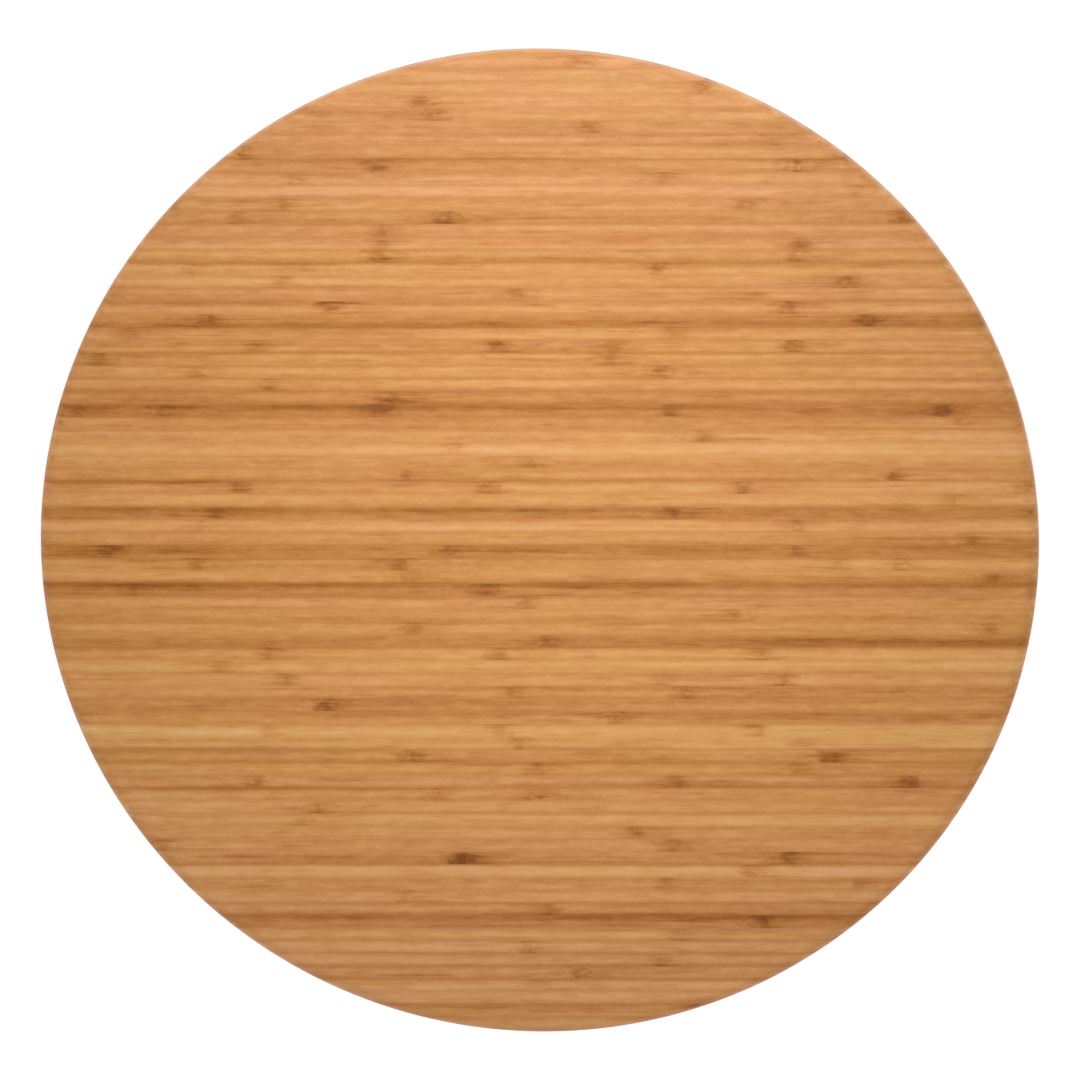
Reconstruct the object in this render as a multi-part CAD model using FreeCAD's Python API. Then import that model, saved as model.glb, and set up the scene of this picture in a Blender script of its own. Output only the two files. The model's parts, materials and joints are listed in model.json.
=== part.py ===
"""Bamboo lazy susan turntable.

A round serving board turns on a ball swivel that is screwed to a smaller round base board on rubber feet.
The swivel is two pressed steel plates, one turned 45 degrees to the other, with a ring of caged balls
between them and a hollow rivet at the centre that stops them lifting apart.

Millimetres. The origin is the centre of the circle of feet, on the surface that they stand on. +Z is up,
along the axis that everything turns about. +X runs along the bamboo strips.
"""

import FreeCAD
import Part
import math
import os
from typing import NamedTuple

V = FreeCAD.Vector
UP = V(0, 0, 1)
ORIGIN = V(0, 0, 0)


class Screw(NamedTuple):
    """The sizes of a pan-head wood screw. The length is measured under the head."""

    thread_diameter: float
    length: float
    head_diameter: float
    head_height: float


# ---- driving dimensions ------------------------------------------------------------------------------

TOP_DIAMETER = 400.0
TOP_THICKNESS = 15.0
TOP_EDGE_RADIUS = 5.0

BASE_DIAMETER = 240.0
BASE_THICKNESS = 12.0
BASE_EDGE_RADIUS = 3.0

FOOT_COUNT = 6
FOOT_CIRCLE_RADIUS = 98.0
FOOT_FIRST_ANGLE = 30.0
FOOT_HEIGHT = 6.0
FOOT_TOP_RADIUS = 10.0
FOOT_BOTTOM_RADIUS = 8.8
FOOT_EDGE_RADIUS = 1.0
FOOT_WELL_RADIUS = 5.2
FOOT_WELL_DEPTH = 4.2
FOOT_HOLE_RADIUS = 1.9
FOOT_WASHER_RADIUS = 4.9
FOOT_WASHER_THICKNESS = 0.8

SWIVEL_HEIGHT = 8.0
PLATE_SIDE = 150.0
PLATE_THICKNESS = 1.0
PLATE_CORNER_RADIUS = 14.0
PLATE_BEND_RADIUS = 1.2
PLATE_WEB_HEIGHT = 2.3  # middle of the raised inner web, above the face that the plate is screwed to
PLATE_LIP_WIDTH = 1.6  # flat crest between the ball groove and the outer flange
PLATE_SCREW_OFFSET = 62.0  # corner holes, from the plate's two centre lines
PLATE_SCREW_HOLE_RADIUS = 2.6
PLATE_SIDE_HOLE_RADIUS = 2.2
PLATE_SIDE_HOLE_OFFSET = 67.5  # spare holes at the middle of each side
UPPER_PLATE_TURN = 45.0

BALL_COUNT = 24
BALL_RADIUS = 2.75
BALL_CIRCLE_RADIUS = 52.0
BALL_PLAY = 0.1
GROOVE_RADIUS = 3.0

CAGE_THICKNESS = 1.4
CAGE_WIDTH = 8.8
CAGE_POCKET_RADIUS = 2.9
CAGE_COLLAR_RADIUS = 3.9
CAGE_COLLAR_HEIGHT = 1.8

RIVET_RADIUS = 8.0
RIVET_WALL = 1.2
RIVET_FLANGE_RADIUS = 11.5
RIVET_FLANGE_THICKNESS = 0.8
RIVET_RUNNING_PLAY = 0.08
RIVET_CLENCH_PLAY = 0.03
RIVET_WASHER_RADIUS = 12.0
RIVET_WASHER_THICKNESS = 0.4

ACCESS_HOLE_RADIUS = 8.0
ACCESS_HOLE_CHAMFER = 0.8

PLATE_SCREW = Screw(thread_diameter=4.0, length=10.0, head_diameter=8.0, head_height=2.4)
FOOT_SCREW = Screw(thread_diameter=3.5, length=12.0, head_diameter=7.0, head_height=2.0)
THREAD_PITCH = 1.6
CORE_SHARE = 0.62  # core diameter over thread diameter
PILOT_SHARE = 0.74  # pilot hole diameter over thread diameter
PILOT_EXTRA_DEPTH = 0.4

# ---- heights and places that follow from them --------------------------------------------------------

BASE_BOTTOM_Z = FOOT_HEIGHT
BASE_TOP_Z = BASE_BOTTOM_Z + BASE_THICKNESS
BALL_Z = BASE_TOP_Z + SWIVEL_HEIGHT / 2
TOP_BOTTOM_Z = BASE_TOP_Z + SWIVEL_HEIGHT
FOOT_SCREW_Z = FOOT_WELL_DEPTH - FOOT_WASHER_THICKNESS
PLATE_SCREW_CIRCLE_RADIUS = PLATE_SCREW_OFFSET * math.sqrt(2)


# ---- outline helpers ---------------------------------------------------------------------------------


def direction(a, b):
    """The unit vector from a to b, as an (r, z) pair."""
    length = math.hypot(b[0] - a[0], b[1] - a[1])
    return ((b[0] - a[0]) / length, (b[1] - a[1]) / length)


def turn_of(before, after):
    """The signed angle between two unit vectors, positive to the left."""
    cross = before[0] * after[1] - before[1] * after[0]
    dot = before[0] * after[0] + before[1] * after[1]
    return math.atan2(cross, dot)


def rounded_path(corners, closed):
    """Edges in the XZ plane through corners (r, z, radius): straight runs joined by tangent arcs."""
    count = len(corners)
    arcs = []
    for i, (r, z, radius) in enumerate(corners):
        ends = i in (0, count - 1) and not closed
        if ends or radius == 0:
            arcs.append((V(r, 0, z), None, V(r, 0, z)))
            continue
        before = direction(corners[i - 1], corners[i])
        after = direction(corners[i], corners[(i + 1) % count])
        turn = turn_of(before, after)
        setback = radius * math.tan(abs(turn) / 2)
        side = math.copysign(radius, turn)
        start = (r - before[0] * setback, z - before[1] * setback)
        centre = (start[0] - before[1] * side, start[1] + before[0] * side)
        to_corner = direction(centre, (r, z))
        middle = V(centre[0] + to_corner[0] * radius, 0, centre[1] + to_corner[1] * radius)
        end = V(r + after[0] * setback, 0, z + after[1] * setback)
        arcs.append((V(start[0], 0, start[1]), middle, end))
    edges = []
    for i, (start, middle, end) in enumerate(arcs):
        if middle is not None:
            edges.append(Part.Arc(start, middle, end).toShape())
        if i + 1 < count or closed:
            following = arcs[(i + 1) % count][0]
            if end.distanceToPoint(following) > 1e-6:
                edges.append(Part.LineSegment(end, following).toShape())
    return edges


def turned(edges):
    """The solid made by turning the outline that the edges close about the Z axis."""
    outline = Part.Wire(Part.sortEdges(edges)[0])
    return Part.Face(outline).revolve(ORIGIN, UP, 360)


def revolved(corners):
    """The solid made by turning the closed outline of (r, z, radius) corners about the Z axis."""
    return turned(rounded_path(corners, closed=True))


def beside(corners, distance):
    """The open path that runs at a distance to the left of an open path of (r, z, radius) corners."""
    count = len(corners)
    runs = [direction(corners[i], corners[i + 1]) for i in range(count - 1)]
    path = []
    for i, (r, z, radius) in enumerate(corners):
        before, after = runs[max(i - 1, 0)], runs[min(i, count - 2)]
        share = 1 + before[0] * after[0] + before[1] * after[1]
        r_side = r - (before[1] + after[1]) * distance / share
        z_side = z + (before[0] + after[0]) * distance / share
        side = math.copysign(1, turn_of(before, after))
        path.append((r_side, z_side, radius - side * distance if radius else 0))
    return path


def revolved_sheet(middle, thickness):
    """A pressed sheet: the open path of its middle surface, thickened both ways and turned about Z."""
    left = rounded_path(beside(middle, thickness / 2), closed=False)
    right = rounded_path(beside(middle, -thickness / 2), closed=False)
    ends = [
        Part.LineSegment(left[0].firstVertex(True).Point, right[0].firstVertex(True).Point).toShape(),
        Part.LineSegment(left[-1].lastVertex(True).Point, right[-1].lastVertex(True).Point).toShape(),
    ]
    return turned(left + right + ends)


def polar(radius, angle_deg, z=0.0):
    """A point on a circle about the Z axis."""
    angle = math.radians(angle_deg)
    return V(radius * math.cos(angle), radius * math.sin(angle), z)


def moved(shape, place):
    """A copy of the shape, moved from the origin to a place."""
    copy = shape.copy()
    copy.translate(place)
    return copy


def upside_down(shape):
    """A copy of the shape, turned over about the X axis."""
    copy = shape.copy()
    copy.rotate(ORIGIN, V(1, 0, 0), 180)
    return copy


def around(count, radius, first_angle, z):
    """The places of equally spaced pieces on a circle about the Z axis."""
    return [polar(radius, first_angle + i * 360.0 / count, z) for i in range(count)]


# ---- where the screws and feet go --------------------------------------------------------------------

LOWER_SCREW_PLACES = around(4, PLATE_SCREW_CIRCLE_RADIUS, 45.0, BASE_TOP_Z)
UPPER_SCREW_PLACES = around(4, PLATE_SCREW_CIRCLE_RADIUS, 45.0 + UPPER_PLATE_TURN, TOP_BOTTOM_Z)
FOOT_PLACES = around(FOOT_COUNT, FOOT_CIRCLE_RADIUS, FOOT_FIRST_ANGLE, 0.0)
ACCESS_HOLE_PLACE = polar(PLATE_SCREW_CIRCLE_RADIUS, 0.0, BASE_BOTTOM_Z)


# ---- wood screws -------------------------------------------------------------------------------------


def cross_outline(reach, arm, z):
    """A cross-shaped wire of two bars, reach long each way from the centre and arm wide."""
    half = arm / 2
    quarter = [(reach, -half), (reach, half), (half, half)]
    points = []
    for turns in range(4):
        for x, y in quarter:
            for _ in range(turns):
                x, y = -y, x
            points.append(V(x, y, z))
    return Part.makePolygon([*points, points[0]])


def cross_recess(head_diameter, head_height):
    """The tapered cross-shaped socket of a screw head whose crown is at head_height."""
    mouth = cross_outline(0.30 * head_diameter, 0.13 * head_diameter, head_height + 0.01)
    floor = cross_outline(0.12 * head_diameter, 0.07 * head_diameter, 0.35 * head_height)
    return Part.makeLoft([mouth, floor], True)


def wood_screw(screw):
    """A wood screw pointing down, with its head's bearing face at z = 0. Its thread is plain rings."""
    crest = screw.thread_diameter / 2
    core = crest * CORE_SHARE
    rim = screw.head_diameter / 2
    outline = [
        (0, screw.head_height, 0),
        (0.9 * rim, screw.head_height, 0.5 * screw.head_height),
        (rim, 0.35 * screw.head_height, 0.15 * screw.head_height),
        (rim, 0, 0),
        (core, 0, 0),
    ]
    ring_count = int((screw.length - screw.thread_diameter) / THREAD_PITCH)
    for i in range(ring_count):
        z = -(i + 0.5) * THREAD_PITCH
        outline += [(core, z, 0), (crest, z - 0.30 * THREAD_PITCH, 0)]
        outline += [(crest, z - 0.38 * THREAD_PITCH, 0), (core, z - 0.68 * THREAD_PITCH, 0)]
    outline += [(core, screw.thread_diameter - screw.length, 0), (0, -screw.length, 0)]
    return revolved(outline).cut(cross_recess(screw.head_diameter, screw.head_height))


def pilot_hole(screw, grip, mouth, into):
    """The blind hole for the length of a screw that grips the wood, from its mouth's centre inwards."""
    radius = screw.thread_diameter / 2 * PILOT_SHARE
    return Part.makeCylinder(radius, grip + PILOT_EXTRA_DEPTH, mouth, into)


# ---- boards ------------------------------------------------------------------------------------------


def round_board(diameter, thickness, edge_radius, bottom_z):
    """A bamboo disc with both of its rims rounded over."""
    radius = diameter / 2
    top_z = bottom_z + thickness
    rims = [(radius, bottom_z, edge_radius), (radius, top_z, edge_radius)]
    return revolved([(0, bottom_z, 0), *rims, (0, top_z, 0)])


def make_top_board():
    """The serving board, with blind pilot holes for the upper plate's screws in its underside."""
    board = round_board(TOP_DIAMETER, TOP_THICKNESS, TOP_EDGE_RADIUS, TOP_BOTTOM_Z)
    for place in UPPER_SCREW_PLACES:
        board = board.cut(pilot_hole(PLATE_SCREW, PLATE_SCREW.length - PLATE_THICKNESS, place, UP))
    return board


def make_base_board():
    """The base board, with pilot holes on both faces and the hole that gives a driver its way to the top."""
    board = round_board(BASE_DIAMETER, BASE_THICKNESS, BASE_EDGE_RADIUS, BASE_BOTTOM_Z)
    for place in LOWER_SCREW_PLACES:
        board = board.cut(pilot_hole(PLATE_SCREW, PLATE_SCREW.length - PLATE_THICKNESS, place, -UP))
    for place in FOOT_PLACES:
        mouth = V(place.x, place.y, BASE_BOTTOM_Z)
        board = board.cut(pilot_hole(FOOT_SCREW, FOOT_SCREW.length - (mouth.z - FOOT_SCREW_Z), mouth, UP))
    board = board.cut(Part.makeCylinder(ACCESS_HOLE_RADIUS, BASE_THICKNESS, ACCESS_HOLE_PLACE, UP))
    wide = ACCESS_HOLE_RADIUS + ACCESS_HOLE_CHAMFER
    flare = Part.makeCone(wide, ACCESS_HOLE_RADIUS, ACCESS_HOLE_CHAMFER, ACCESS_HOLE_PLACE, UP)
    return board.cut(flare)


# ---- swivel ------------------------------------------------------------------------------------------


def plate_middle(centre_hole_radius):
    """The middle surface of a swivel plate from its centre hole to its flange, as (r, z, bend radius)."""
    flange_z = PLATE_THICKNESS / 2
    groove_floor_z = SWIVEL_HEIGHT / 2 - BALL_RADIUS - BALL_PLAY - PLATE_THICKNESS / 2
    groove_bend = GROOVE_RADIUS + PLATE_THICKNESS / 2
    groove_corner_z = groove_floor_z + groove_bend - groove_bend * math.sqrt(2)
    flank = PLATE_WEB_HEIGHT - groove_corner_z  # the flanks slope at 45 degrees
    lip_start = BALL_CIRCLE_RADIUS + flank
    lip_end = lip_start + PLATE_LIP_WIDTH
    flange_start = lip_end + PLATE_WEB_HEIGHT - flange_z
    return [
        (centre_hole_radius, PLATE_WEB_HEIGHT, 0),
        (BALL_CIRCLE_RADIUS - flank, PLATE_WEB_HEIGHT, PLATE_BEND_RADIUS),
        (BALL_CIRCLE_RADIUS, groove_corner_z, groove_bend),
        (lip_start, PLATE_WEB_HEIGHT, PLATE_BEND_RADIUS),
        (lip_end, PLATE_WEB_HEIGHT, PLATE_BEND_RADIUS),
        (flange_start, flange_z, PLATE_BEND_RADIUS),
        (flange_start + 3 * PLATE_THICKNESS, flange_z, 0),
    ]


def square_flange(inner_radius):
    """The plate's flat square sheet, with rounded corners and a round hole in its middle."""
    half = PLATE_SIDE / 2
    flange = Part.makeBox(PLATE_SIDE, PLATE_SIDE, PLATE_THICKNESS, V(-half, -half, 0))
    corners = [edge for edge in flange.Edges if abs(edge.tangentAt(0).z) > 0.5]
    flange = flange.makeFillet(PLATE_CORNER_RADIUS, corners)
    return flange.cut(Part.makeCylinder(inner_radius, PLATE_THICKNESS))


def swivel_plate(centre_hole_radius):
    """One pressed swivel plate, lying on z = 0 with its ball groove facing up."""
    middle = plate_middle(centre_hole_radius)
    pressed = revolved_sheet(middle, PLATE_THICKNESS)
    plate = pressed.fuse(square_flange(middle[-1][0])).removeSplitter()
    holes = [(place, PLATE_SCREW_HOLE_RADIUS) for place in around(4, PLATE_SCREW_CIRCLE_RADIUS, 45.0, 0)]
    holes += [(place, PLATE_SIDE_HOLE_RADIUS) for place in around(4, PLATE_SIDE_HOLE_OFFSET, 0.0, 0)]
    for place, radius in holes:
        plate = plate.cut(Part.makeCylinder(radius, PLATE_THICKNESS, place, UP))
    return plate


def make_lower_plate():
    """The plate screwed to the base board. The rivet turns in its centre hole."""
    return moved(swivel_plate(RIVET_RADIUS + RIVET_RUNNING_PLAY), V(0, 0, BASE_TOP_Z))


def make_upper_plate():
    """The same pressing turned over and 45 degrees round, screwed under the serving board."""
    plate = upside_down(swivel_plate(RIVET_RADIUS + RIVET_CLENCH_PLAY))
    plate.rotate(ORIGIN, UP, UPPER_PLATE_TURN)
    return moved(plate, V(0, 0, TOP_BOTTOM_Z))


def rivet_heights():
    """The undersides and tops of the rivet washer and of the rivet's two flanges, above the base board."""
    lower_web_bottom = PLATE_WEB_HEIGHT - PLATE_THICKNESS / 2
    washer_top = lower_web_bottom - BALL_PLAY
    washer_bottom = washer_top - RIVET_WASHER_THICKNESS
    flange_top = washer_bottom - BALL_PLAY
    upper_web_top = SWIVEL_HEIGHT - lower_web_bottom
    return {
        "washer": (washer_bottom, washer_top),
        "lower_flange": (flange_top - RIVET_FLANGE_THICKNESS, flange_top),
        "upper_flange": (upper_web_top, upper_web_top + RIVET_FLANGE_THICKNESS),
    }


def make_centre_rivet():
    """The hollow rivet clenched in the upper plate. Its lower flange runs under the lower plate."""
    heights = rivet_heights()
    bottom, lower_top = heights["lower_flange"]
    upper_bottom, top = heights["upper_flange"]
    bore = RIVET_RADIUS - RIVET_WALL
    lip = 0.35 * RIVET_FLANGE_THICKNESS
    rivet = revolved(
        [
            (bore, bottom, RIVET_WALL),
            (RIVET_FLANGE_RADIUS, bottom, lip),
            (RIVET_FLANGE_RADIUS, lower_top, lip),
            (RIVET_RADIUS, lower_top, 0),
            (RIVET_RADIUS, upper_bottom, 0),
            (RIVET_FLANGE_RADIUS, upper_bottom, lip),
            (RIVET_FLANGE_RADIUS, top, lip),
            (bore, top, RIVET_WALL),
        ]
    )
    return moved(rivet, V(0, 0, BASE_TOP_Z))


def make_rivet_washer():
    """The slip washer between the rivet's lower flange and the lower plate."""
    bottom, top = rivet_heights()["washer"]
    washer = Part.makeCylinder(RIVET_WASHER_RADIUS, top - bottom, V(0, 0, BASE_TOP_Z + bottom))
    bore = RIVET_RADIUS + 2 * RIVET_RUNNING_PLAY
    return washer.cut(Part.makeCylinder(bore, top - bottom, V(0, 0, BASE_TOP_Z + bottom)))


def ball_places():
    """The centres of the balls."""
    return around(BALL_COUNT, BALL_CIRCLE_RADIUS, 0.0, BALL_Z)


def make_ball_cage():
    """The flat moulded ring that keeps the balls apart, with a collar round each pocket."""
    inner = BALL_CIRCLE_RADIUS - CAGE_WIDTH / 2
    outer = BALL_CIRCLE_RADIUS + CAGE_WIDTH / 2
    bottom = BALL_Z - CAGE_THICKNESS / 2
    ring = Part.makeCylinder(outer, CAGE_THICKNESS, V(0, 0, bottom))
    ring = ring.cut(Part.makeCylinder(inner, CAGE_THICKNESS, V(0, 0, bottom)))
    to_collar = V(0, 0, CAGE_COLLAR_HEIGHT / 2)
    places = ball_places()
    collars = [Part.makeCylinder(CAGE_COLLAR_RADIUS, CAGE_COLLAR_HEIGHT, p - to_collar) for p in places]
    pockets = [Part.makeCylinder(CAGE_POCKET_RADIUS, CAGE_COLLAR_HEIGHT, p - to_collar) for p in places]
    return ring.multiFuse(collars).cut(Part.makeCompound(pockets)).removeSplitter()


def make_balls():
    """Each steel ball, by node name."""
    return {f"ball_{i + 1:02d}": Part.makeSphere(BALL_RADIUS, p) for i, p in enumerate(ball_places())}


# ---- feet --------------------------------------------------------------------------------------------


def foot():
    """A tapered rubber foot standing on the origin, with a well for its washer and screw head."""
    return revolved(
        [
            (FOOT_WELL_RADIUS, 0, FOOT_EDGE_RADIUS / 2),
            (FOOT_BOTTOM_RADIUS, 0, FOOT_EDGE_RADIUS),
            (FOOT_TOP_RADIUS, FOOT_HEIGHT, 0),
            (FOOT_HOLE_RADIUS, FOOT_HEIGHT, 0),
            (FOOT_HOLE_RADIUS, FOOT_WELL_DEPTH, 0),
            (FOOT_WELL_RADIUS, FOOT_WELL_DEPTH, 0),
        ]
    )


def foot_washer():
    """The steel washer at the top of a foot's well."""
    bottom = V(0, 0, FOOT_SCREW_Z)
    washer = Part.makeCylinder(FOOT_WASHER_RADIUS, FOOT_WASHER_THICKNESS, bottom)
    return washer.cut(Part.makeCylinder(FOOT_HOLE_RADIUS, FOOT_WASHER_THICKNESS, bottom))


def make_feet():
    """Each rubber foot and each foot washer, by node name."""
    nodes = {}
    for i, place in enumerate(FOOT_PLACES, start=1):
        nodes[f"foot_{i}"] = moved(foot(), place)
        nodes[f"foot_washer_{i}"] = moved(foot_washer(), place)
    return nodes


# ---- groups of screws --------------------------------------------------------------------------------


def make_screws():
    """The three sets of screws, each set one node of separate solids."""
    down = wood_screw(PLATE_SCREW)
    up = upside_down(down)
    foot_up = upside_down(wood_screw(FOOT_SCREW))
    plate = V(0, 0, PLATE_THICKNESS)
    washer = V(0, 0, FOOT_SCREW_Z)
    return {
        "lower_plate_screws": Part.makeCompound([moved(down, place + plate) for place in LOWER_SCREW_PLACES]),
        "upper_plate_screws": Part.makeCompound([moved(up, place - plate) for place in UPPER_SCREW_PLACES]),
        "foot_screws": Part.makeCompound([moved(foot_up, place + washer) for place in FOOT_PLACES]),
    }


# ---- the whole turntable -----------------------------------------------------------------------------


def make_nodes():
    """Every node of the turntable, by name."""
    return {
        "top_board": make_top_board(),
        "base_board": make_base_board(),
        "upper_swivel_plate": make_upper_plate(),
        "lower_swivel_plate": make_lower_plate(),
        "centre_rivet": make_centre_rivet(),
        "rivet_washer": make_rivet_washer(),
        "ball_cage": make_ball_cage(),
        **make_balls(),
        **make_feet(),
        **make_screws(),
    }


os.makedirs("parts", exist_ok=True)
for name, shape in make_nodes().items():
    if not shape.isValid() or min(solid.Volume for solid in shape.Solids) <= 0:
        raise ValueError(f"{name} isn't a valid solid")
    shape.exportStep(f"parts/{name}.step")
print("wrote", len(os.listdir("parts")), "nodes")
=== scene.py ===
"""Looks of the bamboo lazy susan turntable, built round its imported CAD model. Metres, in that model's frame.

Both boards are rebuilt here as strip-built bamboo. The steel, nylon and rubber pieces keep their CAD shapes
and get their materials here.
"""

import json
import math
import random
from typing import NamedTuple

import bmesh
import bpy
from mathutils import Matrix, Vector


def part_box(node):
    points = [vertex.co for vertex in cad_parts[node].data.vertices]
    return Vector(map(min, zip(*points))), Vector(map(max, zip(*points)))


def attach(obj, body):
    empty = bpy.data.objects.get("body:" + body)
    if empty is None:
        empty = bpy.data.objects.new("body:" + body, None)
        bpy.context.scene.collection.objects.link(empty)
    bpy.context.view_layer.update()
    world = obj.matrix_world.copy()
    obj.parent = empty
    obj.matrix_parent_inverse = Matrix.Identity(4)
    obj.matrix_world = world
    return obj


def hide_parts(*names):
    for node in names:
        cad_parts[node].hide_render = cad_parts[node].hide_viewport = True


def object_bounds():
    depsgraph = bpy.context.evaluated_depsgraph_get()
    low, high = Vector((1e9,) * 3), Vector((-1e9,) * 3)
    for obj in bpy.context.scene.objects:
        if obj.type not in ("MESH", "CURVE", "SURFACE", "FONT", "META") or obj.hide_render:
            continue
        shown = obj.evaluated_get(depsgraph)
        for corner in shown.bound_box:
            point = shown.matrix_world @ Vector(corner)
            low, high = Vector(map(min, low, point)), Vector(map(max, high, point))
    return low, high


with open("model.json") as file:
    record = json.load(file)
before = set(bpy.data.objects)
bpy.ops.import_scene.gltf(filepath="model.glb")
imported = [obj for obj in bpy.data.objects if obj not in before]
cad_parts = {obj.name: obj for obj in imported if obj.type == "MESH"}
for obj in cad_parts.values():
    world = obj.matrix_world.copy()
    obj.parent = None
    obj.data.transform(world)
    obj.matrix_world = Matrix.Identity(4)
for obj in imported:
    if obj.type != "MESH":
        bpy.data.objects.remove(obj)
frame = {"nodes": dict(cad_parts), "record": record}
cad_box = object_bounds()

MM = 0.001

# ---- sizes and counts ---------------------------------------------------------------------------------

# The bamboo's own sizes are in mm.
SERVING_RADIUS = 200.0
BASE_RADIUS = 120.0
STRIP_WIDTH = 5.22
SERVING_MIDDLE = 2.8  # where the centre line of a board's middle strip lies along Y
BASE_MIDDLE = 1.2
INTERNODE = (190.0, 330.0)  # shortest and longest way between two knots of one strip
NO_KNOT = 9999.0  # far off the board
GLUE_LINE = 1.15  # how far a glue line darkens the strip
JOIN_WIDTH = 0.75  # over which one strip's tone gives way to the next one's
STREAK_WIDTH = 1.35
STREAK_OVERLAP = 1.2  # how far from a glue line a streak still shows in the next strip
STREAK_ENDS = 14.0  # over which a streak fades in and out, on both sides of its ends

GRAIN_SEED = 20
LANES = (1, 2)  # a strip carries its knots in these lanes
KNOTS_IN_A_LANE = 3
STREAKS_IN_A_STRIP = 3
RANDOM_KNOT_DEPTH = (0.3, 0.8)
RANDOM_STREAK_DEPTH = (0.2, 0.6)
RANDOM_STREAK_LENGTH = (40, 150)  # mm
GLUE_DARKNESS = (0.3, 1.0)
TONE_SPREAD = 0.03  # of the strips' tones round the tone they are meant to have
TONE_LIMIT = 0.09
SLANT_LIMIT = 0.12  # of the change of tone across a strip
DRIFT_SPREAD = 0.0002  # of the change of tone along a strip, to the mm

SERVING_EDGE_RADIUS = 5.0 * MM
BASE_EDGE_RADIUS = 3.0 * MM
ROUND_STEPS = 360
EDGE_STEPS = 10
HOLE_STEPS = 64
ACCESS_HOLE_RADIUS = 8.0 * MM
ACCESS_HOLE_CHAMFER = 0.8 * MM
SHARP_ANGLE = 30  # degrees
BALL_RACE_RADIUS = 52.0  # mm
GREASE_WIDTH = 5.0  # mm

# ---- floor, light and camera --------------------------------------------------------------------------

FLOOR_SIZE = 60.0
FLOOR_GAP = 0.1 * MM  # between the floor and the feet
FLOOR_COLOUR = (0.55, 0.55, 0.55, 1.0)
FLOOR_GLOW = (0.75, 0.79, 0.85, 1.0)  # a little blue, against the boards' warm light on the floor

KEY_POWER = 1.25  # W
KEY_PLACE = (0.020, 0.148, 0.382)
KEY_SIZE = (0.215, 0.645)
KEY_COLOUR = (1.0, 0.98, 0.95)
LIGHT_TARGET = (0, 0, 0.04)
CEILING_GLOW = 0.29
WALL_GLOW = 1.1  # at the level of the board, fading out upwards
WALL_LEFT = 0.10  # how much of the walls' glow comes from -X rather than +X
WALL_BACK = 0.15  # and from +Y rather than -Y

CAMERA_AZIMUTH = -14.7
CAMERA_ELEVATION = 101.4  # past overhead, so the lens leans in from beyond the far edge
CAMERA_DISTANCE = 8.0
CAMERA_TARGET = (0.6 * MM, 2.3 * MM)
SENSOR_WIDTH = 36.0  # mm
PICTURE_WIDTH = 431.9 * MM  # how much of the board's plane the picture spans

# ---- the serving board's own marks --------------------------------------------------------------------

# Strips of the serving board that stand out, by their tone, from 0 for the darkest to 1 for the palest. They
# are counted from the middle strip towards +Y.
PLAIN_TONE = 0.56
SERVING_TONES = {
    0.42: (-30, -8, -4, -1, 2, 10, 17, 25),
    0.49: (-29, -25, -17, -14, -13, 0, 11, 29),
    0.62: (-28, -21, -16, -11, -3, -2, 1, 3, 4, 8, 12, 34, 35, 36),
    0.67: (-26, -22, -15, -10, -9, 7),
}

MARKS_ORIGIN = (1, 6)  # mm, the point of the serving board that its knots and streaks are measured from

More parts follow.
